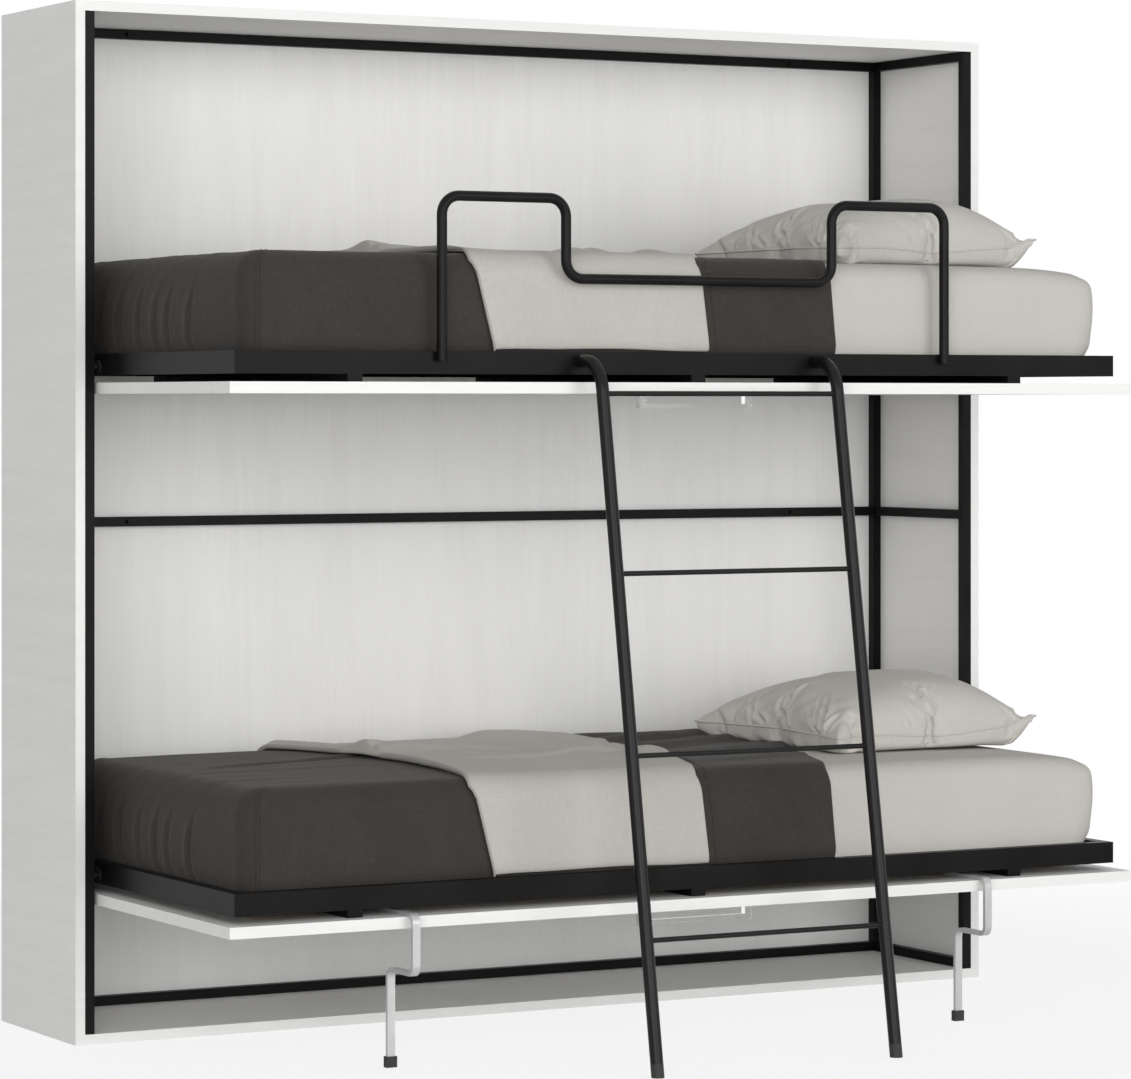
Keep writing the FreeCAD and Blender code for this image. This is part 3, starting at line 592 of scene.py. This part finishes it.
def frontFolds(p):
    # slanting pulls
    d = cover["frontWaves"] * ripple((p.x + 0.7 * p.z, 0, p.z - 0.5 * p.x), (10, 1, 3), 9.0)
    for middle, high in cover["frontPulls"]:
        across = (p.x - middle) * 0.86 + (p.z - 0.45) * 0.42
        d += high * hump(across, 0.0, 0.006) * hump(p.z, 0.47, 0.06)
    return d


def coverFolds(p, n):
    broad, fine = cover["uneven"]
    d = broad * ripple(p, (2.6, 4.5, 5), 7.0) + fine * ripple(p, (14, 14, 14), 3.0)
    d += ease(n.z, 0.5, 0.95) * topFolds(p)
    d += ease(-n.x, 0.35, 0.9) * footFolds(p)
    d += ease(-n.y, 0.4, 0.9) * frontFolds(p)
    return d


def stitchLine(skin, path):
    # thin tube along the cloth's own surface
    places = []
    for p in path:
        spot, normal = skin.find_nearest(Vector(p))[:2]
        places.append(spot + normal * cover["stitchProud"])
    return tube([p[:] for p in places], cover["stitch"], 6, False)


def coverStitching(points, faces):
    skin = BVHTree.FromPolygons([tuple(p) for p in points], faces)
    g = cover["grow"]
    lo, hi = np.array(mattress["lo"]) - g, np.array(mattress["hi"]) + g
    heights = np.linspace(cover["hem"] + 0.006, hi[2], 26)
    paths = []
    # double seam down both foot corners
    for y, inward in ((lo[1], 1), (hi[1], -1)):
        for off in cover["seamAt"]:
            up = [(lo[0] + off, y, z) for z in heights]
            over = [(lo[0] + off + 0.7 * run, y + inward * run, hi[2]) for run in np.linspace(0.004, 0.05, 8)]
            paths.append(bedForm(np.array(up + over), g))
    # hem line beside the throw, up the front and back over the top
    drops = [throw["headLow"] * (hi[2] - z) / (hi[2] - lo[2]) for z in heights]
    up = [(throw["headEdge"] + cover["bandAt"] + drop, lo[1], z) for drop, z in zip(drops, heights)]
    runs = np.linspace(lo[1] + 0.01, cover["bandTo"], 30)
    over = [(lineAt(throw["headLine"], y) + cover["bandAt"], y, hi[2]) for y in runs]
    paths.append(bedForm(np.array(up + over), g))
    allPoints, allFaces = [], []
    for path in paths:
        ringPoints, ringFaces = stitchLine(skin, path)
        allFaces += [[k + len(allPoints) for k in face] for face in ringFaces]
        allPoints += list(ringPoints)
    return newPiece("stitching", allPoints, allFaces, charcoalCloth)


def makeCover():
    g = cover["grow"]
    lo = (mattress["lo"][0] - g, mattress["lo"][1] - g, cover["hem"])
    hi = (cover["headEdge"], mattress["hi"][1] + g, mattress["hi"][2] + g)
    points, faces = boxSkin(lo, hi, cover["step"], ("x-", "y-", "y+", "z+"))
    points = bedForm(points, g)
    # the head edge slants towards the pillow, and hangs a little further along at the front
    pull = climb(points[:, 0], cover["slackFrom"], cover["headEdge"] - cover["slackFrom"]) ** 1.5
    drop = climb(points[:, 2], mattress["hi"][2], -cover["dropTall"])
    back = np.clip(points[:, 1] - cover["slantFrom"], 0, cover["slantOver"])
    points[:, 0] += pull * (cover["headSlant"] * back + cover["headDrop"] * drop)
    piece = newPiece("cover", points, faces, charcoalCloth)
    pushOut(piece, coverFolds)
    stitching = coverStitching([v.co for v in piece.data.vertices], faces)
    thicken(piece, cover["thick"])
    smoothMore(piece)
    stitched = placeOnBeds(stitching, "CoverStitching", None)
    for bed, own in placeOnBeds(piece, "Cover", "cover").items():
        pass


# pale throw across the cover; lines are (y, value) places, a crease is (y, slant, depth)
# and a lump (x, y, width, height)

throw = {"footLine": ((-0.80, -0.492), (-0.62, -0.470), (-0.44, -0.452), (-0.30, -0.468), (-0.15, -0.484),
                      (0.0, -0.525), (0.10, -0.545)),
         "headLine": ((-0.80, 0.009), (-0.70, 0.036), (-0.54, 0.090), (-0.29, 0.115), (-0.07, 0.150), (0.10, 0.165)),
         "headEdge": 0.009, "footLow": 0.050, "headLow": 0.025, "hem": 0.3585, "grow": 0.0130, "thick": 0.0045,
         "cutWide": 0.55, "step": 0.0080, "flat": (0.58, 1.27), "cutArea": 0.73,
         "uneven": 0.0014, "frontWaves": 0.0030, "hemWaves": (0.0030, 0.0010, 0.0015),
         "foldLine": ((-0.80, 0.003), (-0.66, 0.010), (-0.50, 0.015), (-0.28, 0.016), (-0.16, 0.024), (0.10, 0.024)),
         "behindRoll": 0.62, "foldRise": 0.010, "foldRun": 0.10, "pinchAt": -0.30, "hemRoll": 0.0022,
         "ridge": (-0.270, 0.055, 0.021), "backWave": (0.065, 0.075, 0.015),
         "creases": ((-0.30, 0.05, 0.004), (-0.50, 0.10, 0.005)),
         "lumps": ((-0.090, -0.47, 0.040, 0.012), (-0.030, -0.42, 0.030, 0.014), (0.065, -0.50, 0.040, 0.014),
                   (-0.25, -0.30, 0.060, 0.006), (-0.33, -0.52, 0.060, 0.005))}


def lineAt(line, y):
    # a line of (y, value) places, rounded off at its points
    ys, values = zip(*line)
    return np.mean([np.interp(y + shift, ys, values) for shift in np.linspace(-0.06, 0.06, 7)], axis=0)


def footFold(p, n, inEdge):
    # doubled foot edge: steep face, then a long fall; pinched towards the back
    steep = throw["foldRise"]
    rise = ease(inEdge, 0.0, steep) * (1 - 0.8 * ease(inEdge, 1.5 * steep, throw["foldRun"]))
    slanted = p.y - 0.35 * inEdge
    valley = hump(slanted, throw["pinchAt"], 0.010) - 0.35 * hump(slanted, throw["pinchAt"] - 0.03, 0.02)
    pinch = 1 - 0.75 * valley * ease(0.14 - inEdge, 0.0, 0.12)
    onTop = 0.16 + 0.84 * ease(n.z, 0.0, 0.8)
    return onTop * throw["behindRoll"] * lineAt(throw["foldLine"], p.y) * rise * pinch


def throwFolds(p, n):
    top = ease(n.z, 0.25, 0.85)
    front = ease(-n.y, 0.4, 0.9)
    d = throw["uneven"] * (ripple(p, (5, 4, 4), 31.0) + top * ripple(p, (9, 3, 1), 17.0))
    d += front * throw["frontWaves"] * ripple(p, (9, 0, 2), 41.0)
    drop = ease(0.53 - p.z, 0.0, 0.15)
    inEdge = p.x - lineAt(throw["footLine"], p.y) - throw["footLow"] * drop
    d += footFold(p, n, inEdge)
    # a tall fold behind the pinch, dying out towards the head
    middle, wide, high = throw["ridge"]
    d += top * high * hump(p.y, middle, wide) * ease(inEdge, -0.004, 0.012) * (1 - ease(p.x, -0.40, -0.22))
    # two long creases, a wave at the back and lumps towards the head edge
    for middle, slant, deep in throw["creases"]:
        off = p.y - middle - slant * (p.x + 0.2) - 2.8 * max(0.0, p.x + 0.02) ** 2
        d += top * deep * (0.8 * hump(off, 0.035, 0.03) - hump(off, 0.0, 0.014)) * ease(p.x, -0.42, -0.30)
    middle, wide, high = throw["backWave"]
    d += top * high * hump(p.y, middle, wide) * ease(p.x, -0.11, -0.03) * (1 - ease(p.x, 0.02, 0.20))
    for x, y, wide, high in throw["lumps"]:
        d += top * high * hump(p.x, x, wide) * hump(p.y, y, 1.6 * wide)
    return d


def throwRoll(edge):
    # the rolled foot edge: thick on top, thinning out down both drops
    path, radii = [], []
    for vertex in edge:
        p, n = vertex.co, vertex.normal
        onTop = ease(n.z, 0.35, 0.95)
        pinched = 1 - 0.45 * hump(p.y, throw["pinchAt"], 0.014)
        thickness = 0.5 * lineAt(throw["foldLine"], p.y) * (1 + 0.18 * ripple(p, (3, 14, 3), 51.0)) * pinched
        radius = max(throw["hemRoll"], thickness * onTop)
        radii.append(radius)
        path.append(p + n * (0.8 * radius) + Vector((0.35 * radius, 0, 0)))
    points, faces = tube([p[:] for p in path], radii, 12, False)
    # the roll wears the darker throw cloth: painted shade on the roll and a painted shadow line along the hem edge
    return newPiece("throwRoll", points, faces, shadedThrowCloth)


def makeThrow():
    g = throw["grow"]
    lo = (0.0, mattress["lo"][1] - g, throw["hem"])
    hi = (throw["cutWide"], mattress["hi"][1] + g, mattress["hi"][2] + g)
    points, faces = boxSkin(lo, hi, throw["step"], ("y-", "y+", "z+"))
    share = points[:, 0] / hi[0]
    drop = climb(points[:, 2], hi[2], lo[2] - hi[2])
    foot = lineAt(throw["footLine"], points[:, 1]) + throw["footLow"] * drop
    head = lineAt(throw["headLine"], points[:, 1]) + throw["headLow"] * drop
    # closer rows where the foot edge is doubled
    points[:, 0] = foot + (head - foot) * share * (0.4 + 0.6 * share)
    # wavy hem, lowest at its corners
    middle, waves, corners = throw["hemWaves"]
    points[:, 2] += drop ** 2 * (middle * np.sin(share * math.pi) ** 2 + waves * np.sin(share * 11) - corners)
    piece = newPiece("throw", bedForm(points, g), faces, throwCloth)
    pushOut(piece, throwFolds)
    # the foot edge from the back hem over the top to the front hem
    edge = np.flatnonzero(share == 0)
    y, z = points[edge, 1], points[edge, 2]
    onBack, onFront = y > hi[1] - 1e-6, y < lo[1] + 1e-6
    order = np.where(onBack, z, np.where(onFront, 2 - z, 1 - 0.1 * y))
    roll = throwRoll([piece.data.vertices[int(k)] for k in edge[np.argsort(order)]])
    thicken(piece, throw["thick"])
    smoothMore(piece)
    rolled = placeOnBeds(roll, "ThrowRoll", None)
    for bed, own in placeOnBeds(piece, "Throw", "throw").items():
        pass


makeCover()
print("covers made")
makeThrow()
print("throws made")

# pillow, two sides sewn round the edge and blown up; a corner is (which, shift, shift of its tip)
# and a crease (side, places along that side and up it, depth, width)

pillow = {"cut": (0.60, 0.63), "cells": (56, 60), "cutLift": 0.02, "waist": 0.03, "finer": 3, "pressure": 14.0,
          "frames": 30, "lo": (0.420, -0.630, 0.5395), "hi": (0.952, -0.068, 0.6975), "middle": (0.56, -0.40),
          "seam": 0.580, "seamSag": 0.014, "fuller": 0.80, "underFuller": 0.35, "underPress": 1.25,
          "footLower": 0.013, "clear": 0.001, "softUnder": 0.008, "earFrom": 1.72, "earFlat": 0.85,
          "uneven": 0.0012, "piping": 0.0024, "fill": 0.8, "keep": 0.6, "restsAt": 0.538,
          "corners": (((-1, 1), (0.002, 0.004, -0.002), (0, 0, 0)), ((-1, -1), (0.016, 0.004, -0.004), (0, 0, 0)),
                      ((1, -1), (-0.006, 0.046, 0.002), (0.014, 0, 0.020)), ((1, 1), (0, 0, 0), (0, 0, 0.010))),
          "creases": (("foot", ((-0.195, 0.58), (-0.18, 0.60)), 0.004, 0.005),
                      ("foot", ((-0.255, 0.585), (-0.245, 0.61), (-0.21, 0.635)), 0.008, 0.0055),
                      ("foot", ((-0.215, 0.61), (-0.21, 0.635)), 0.004, 0.005),
                      ("foot", ((-0.30, 0.59), (-0.26, 0.61)), 0.0065, 0.005),
                      ("foot", ((-0.395, 0.585), (-0.375, 0.605), (-0.335, 0.62), (-0.325, 0.66)), 0.009, 0.006),
                      ("foot", ((-0.355, 0.625), (-0.355, 0.66)), 0.004, 0.006),
                      ("foot", ((-0.515, 0.595), (-0.465, 0.625)), 0.0065, 0.005),
                      ("foot", ((-0.525, 0.59), (-0.51, 0.61), (-0.45, 0.655)), 0.009, 0.006),
                      ("foot", ((-0.55, 0.595), (-0.51, 0.63), (-0.465, 0.655)), 0.008, 0.0055),
                      ("foot", ((-0.555, 0.605), (-0.545, 0.63)), 0.0065, 0.005),
                      ("foot", ((-0.57, 0.595), (-0.57, 0.62)), 0.0065, 0.005),
                      ("near", ((0.70, 0.57), (0.69, 0.59), (0.67, 0.62), (0.675, 0.65), (0.67, 0.675)),
                       -0.005, 0.005),
                      ("near", ((0.63, 0.595), (0.595, 0.65)), -0.003, 0.005)),
          "foldsBelow": (("foot", ((-0.33, 0.575), (-0.33, 0.542)), 0.005, 0.008),
                         ("foot", ((-0.45, 0.575), (-0.47, 0.542)), 0.0065, 0.008),
                         ("near", ((0.905, 0.585), (0.88, 0.54)), 0.008, 0.006),
                         ("near", ((0.70, 0.565), (0.705, 0.54)), -0.004, 0.005))}


def pillowSkin(nx, ny):
    # point numbers of both sides, which share the sewn edge, with the faces and the edge ring
    upper = np.arange((nx + 1) * (ny + 1)).reshape(nx + 1, ny + 1)
    lower = upper.copy()
    lower[1:-1, 1:-1] = upper.size + np.arange((nx - 1) * (ny - 1)).reshape(nx - 1, ny - 1)
    faces = []
    for grid, turned in ((upper.tolist(), False), (lower.tolist(), True)):
        for i in range(nx):
            for j in range(ny):
                face = [grid[i][j], grid[i + 1][j], grid[i + 1][j + 1], grid[i][j + 1]]
                faces.append(face[::-1] if turned else face)
    ring = [*upper[:-1, 0], *upper[-1, :-1], *upper[:0:-1, -1], *upper[0, :0:-1]]
    return upper, lower, faces, ring


def pillowCut():
    nx, ny = pillow["cells"]
    wide, long = pillow["cut"]
    upper, lower, faces, ring = pillowSkin(nx, ny)
    u, v = np.meshgrid(np.linspace(-1, 1, nx + 1), np.linspace(-1, 1, ny + 1), indexing="ij")
    lift = pillow["cutLift"] * (1 - u ** 4) * (1 - v ** 4)
    x = u * wide / 2 * (1 - pillow["waist"] * v ** 6)
    y = v * long / 2 * (1 - pillow["waist"] * u ** 6)
    points = np.zeros((lower.max() + 1, 3))
    points[lower] = np.stack([x, y, -lift], axis=-1)
    points[upper] = np.stack([x, y, lift], axis=-1)
    return points, upper, lower, faces


def blowUp(points, faces):
    piece = newPiece("pillowCut", points, faces, sheetCloth)
    puff = piece.modifiers.new("puff", "CLOTH")
    cloth = puff.settings
    cloth.quality, cloth.mass, cloth.air_damping = 8, 0.3, 2.0
    cloth.tension_stiffness, cloth.compression_stiffness = 25, 12
    cloth.shear_stiffness, cloth.bending_stiffness = 8, 0.25
    cloth.use_pressure, cloth.uniform_pressure_force = True, pillow["pressure"]
    cloth.effector_weights.gravity = 0
    puff.collision_settings.use_collision = puff.collision_settings.use_self_collision = False
    puff.point_cache.frame_start, puff.point_cache.frame_end = 1, pillow["frames"]
    for step in range(1, pillow["frames"] + 1):
        scene.frame_set(step)
    shaped = piece.evaluated_get(bpy.context.evaluated_depsgraph_get())
    blown = np.array([v.co[:] for v in shaped.data.vertices])
    bpy.data.objects.remove(piece)
    scene.frame_set(1)
    return blown


def finer(grid, times):
    # more rows and columns through the same points
    for axis in (0, 1):
        rows = np.moveaxis(grid, axis, 0)
        ends = np.concatenate([2 * rows[:1] - rows[1:2], rows, 2 * rows[-1:] - rows[-2:-1]])
        s = np.linspace(0, len(rows) - 1, (len(rows) - 1) * times + 1)
        k = np.minimum(s.astype(int), len(rows) - 2)
        t = (s - k)[:, None, None]
        a, b, c, d = (ends[k + i] for i in range(4))
        rows = b + 0.5 * t * (c - a + t * (2 * a - 5 * b + 4 * c - d + t * (3 * (b - c) + d - a)))
        grid = np.moveaxis(rows, 0, axis)
    return grid


def settle(blown, upper, lower):
    # sized to its place, seam low, flat where it lies on the mattress
    lo, hi = np.array(pillow["lo"]), np.array(pillow["hi"])
    low, high = blown.min(0), blown.max(0)
    blown[:, :2] = (blown[:, :2] - low[:2]) / (high - low)[:2] * (hi - lo)[:2] + lo[:2]
    tall = np.abs(blown[:, 2]).max()
    sides = []
    for grid, side in ((upper, 1), (lower, -1)):
        q = finer(blown[grid], pillow["finer"])
        u, v = np.moveaxis((q[..., :2] - (lo + hi)[:2] / 2) / ((hi - lo)[:2] / 2), -1, 0)
        ears = climb(u + np.abs(v), pillow["earFrom"], 0.2)
        rise = np.clip(side * q[..., 2] / tall, 0, 1) * (1 - pillow["earFlat"] * ears)
        # the seam sags in the middle of the near side
        sag = np.exp(-((u - 0.05) / 0.35) ** 2) * np.clip(-v, 0, 1) ** 2
        seam = pillow["seam"] - pillow["seamSag"] * sag
        if side > 0:
            # lower and slimmer towards the foot, and at the near head corner
            fuller = pillow["fuller"] + 0.3 * climb(u, -0.3, -0.5) + 0.6 * np.clip(u - v - 1.0, 0, 1)
            peak = hi[2] - pillow["footLower"] * climb(u, 0.3, -0.45)
            q[..., 2] = seam + rise ** fuller * (peak - seam)
        else:
            flat = lo[2] + pillow["clear"] - headFall(q[..., 0])
            z = seam - rise ** pillow["underFuller"] * (seam - flat) * pillow["underPress"]
            soft = pillow["softUnder"]
            q[..., 2] = np.where(z < flat + soft, flat + soft * np.exp((z - flat - soft) / soft), z)
        for (a, b), move, tip in pillow["corners"]:
            near = climb(a * u + b * v, 1.0, 0.9)[..., None]
            q += near ** 1.5 * np.array(move) + near ** 7 * np.array(tip)
        sides.append(q)
    return sides


def onSide(q, side, places):
    # the skin's own points at places along its foot or near side
    along = 1 if side == "foot" else 0
    skin = q[q[..., 1 - along] < pillow["middle"][1 - along]]
    return [skin[np.argmin((skin[:, along] - run) ** 2 + (skin[:, 2] - z) ** 2)] for run, z in places]


def nearLine(q, line):
    # distance to a line of points, and how far along it from 0 to 1
    best, along = np.full(q.shape[:2], 9.0), np.zeros(q.shape[:2])
    line = np.array(line)
    for i, (a, b) in enumerate(zip(line[:-1], line[1:])):
        t = np.clip((q - a) @ (b - a) / ((b - a) @ (b - a)), 0, 1)
        off = np.linalg.norm(q - a - t[..., None] * (b - a), axis=-1)
        along = np.where(off < best, (i + t) / (len(line) - 1), along)
        best = np.minimum(best, off)
    return best, along


def crease(q, lines, outward):
    # each line starts at the seam: a sharp valley that fades along it, with soft shoulders
    normal = np.cross(np.gradient(q, axis=0), np.gradient(q, axis=1))
    normal *= outward / np.maximum(np.linalg.norm(normal, axis=-1, keepdims=True), 1e-12)
    y, z = q[..., 1], q[..., 2]
    waves = np.sin(y * 95 + 3 * np.sin(z * 40)) + np.sin(y * 57 - z * 90 + 1.3)
    push = pillow["uneven"] * waves * climb(q[..., 0], pillow["middle"][0], -0.08)
    for side, places, deep, wide in lines:
        off, along = nearLine(q, onSide(q, side, places))
        fade = np.clip(1 - along, 0, 1) ** 0.6
        shoulders = 0.5 * np.exp(-((off - 1.9 * wide) / (1.1 * wide)) ** 2)
        push += deep * fade * (shoulders - np.exp(-(off / wide) ** 2))
    # nothing moves at the sewn edge itself
    fromEdge = [np.minimum(np.arange(n), np.arange(n)[::-1]) for n in push.shape]
    push *= np.clip(np.minimum(*np.meshgrid(*fromEdge, indexing="ij")) / 5, 0, 1)
    return q + normal * push[..., None]


def makePillow():
    points, upper, lower, faces = pillowCut()
    top, under = settle(blowUp(points, faces), upper, lower)
    top, under = crease(top, pillow["creases"], 1), crease(under, pillow["foldsBelow"], -1)
    upper, lower, faces, ring = pillowSkin(top.shape[0] - 1, top.shape[1] - 1)
    q = np.zeros((lower.max() + 1, 3))
    q[lower] = under
    q[upper] = top
    pipe, pipeFaces = tube(q[ring], pillow["piping"], 8, True)
    faces += [[k + len(q) for k in face] for face in pipeFaces]
    # the pillow wears the lighter copy of the sheet cloth, with painted light
    piece = newPiece("pillow", np.vstack([q, np.array(pipe)]), faces, litPillowCloth)
    for bed, own in placeOnBeds(piece, "Pillow", "pillow").items():
        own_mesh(own)


makePillow()
print("pillows made")

# floor, background and studio light; a lamp is (name, place, size, watts)

studio = {"worldLevel": 0.37, "floor": (0.94, 0.94, 0.94), "floorReach": 40, "floorBelow": 0.0015,
          "floorWhite": 0.82, "clearFrom": 1.6, "clearTo": 3.4, "aim": (0, -0.2, 1.0),
          "lamps": (("leftLamp", (-6.4, -11.0, 2.1), 9.0, 810), ("rightLamp", (2.5, -10.5, 2.5), 6.0, 320))}


def seenRays(tree):
    # camera, mirror and clear rays see plain white
    path = tree.nodes.new("ShaderNodeLightPath")
    value = path.outputs["Is Camera Ray"]
    for name in ("Is Glossy Ray", "Is Transmission Ray"):
        both = tree.nodes.new("ShaderNodeMath")
        both.operation = "MAXIMUM"
        tree.links.new(value, both.inputs[0])
        tree.links.new(path.outputs[name], both.inputs[1])
        value = both.outputs[0]
    return value


def mixShaders(tree, share, a, b, output):
    mix = tree.nodes.new("ShaderNodeMixShader")
    for socket, value in zip(mix.inputs, (share, a, b)):
        tree.links.new(value, socket)
    tree.links.new(mix.outputs[0], tree.nodes[output].inputs["Surface"])


def setWorld():
    world = bpy.data.worlds.new("studio")
    scene.world = world
    world.use_nodes = True
    tree = world.node_tree
    lit, shown = tree.nodes["Background"], tree.nodes.new("ShaderNodeBackground")
    lit.inputs["Strength"].default_value = studio["worldLevel"]
    for background in (lit, shown):
        background.inputs["Color"].default_value = (1, 1, 1, 1)
    mixShaders(tree, seenRays(tree), lit.outputs[0], shown.outputs[0], "World Output")


def setFloor():
    mat = newFinish("paleFloor", studio["floor"], 0.9)
    far = studio["floorReach"]
    corners = [(-far, -far, 0), (far, -far, 0), (far, far, 0), (-far, far, 0)]
    floor = newPiece("floor", corners, [[0, 1, 2, 3]], mat)
    floor.location.z = -studio["floorBelow"]
    tree = mat.node_tree
    white = tree.nodes.new("ShaderNodeEmission")
    white.inputs["Color"].default_value = (1, 1, 1, 1)
    # whiter away from the bed, and only for rays that are seen
    where, away = tree.nodes.new("ShaderNodeTexCoord"), tree.nodes.new("ShaderNodeVectorMath")
    away.operation = "LENGTH"
    tree.links.new(where.outputs["Object"], away.inputs[0])
    share = spread(mat, away.outputs["Value"], studio["clearFrom"], studio["clearTo"], (studio["floorWhite"], 1.0))
    seen = sums(mat, "MULTIPLY", share, seenRays(tree))
    mixShaders(tree, seen, shaderOf(mat).outputs[0], white.outputs[0], "Material Output")


def setLamps():
    for name, place, wide, watts in studio["lamps"]:
        data = bpy.data.lights.new(name, "AREA")
        data.shape, data.size, data.energy = "DISK", wide, watts
        lamp = bpy.data.objects.new(name, data)
        scene.collection.objects.link(lamp)
        lamp.location = place
        lamp.rotation_euler = (Vector(studio["aim"]) - Vector(place)).to_track_quat("-Z", "Y").to_euler()


setWorld()
setFloor()
setLamps()
print("studio set")
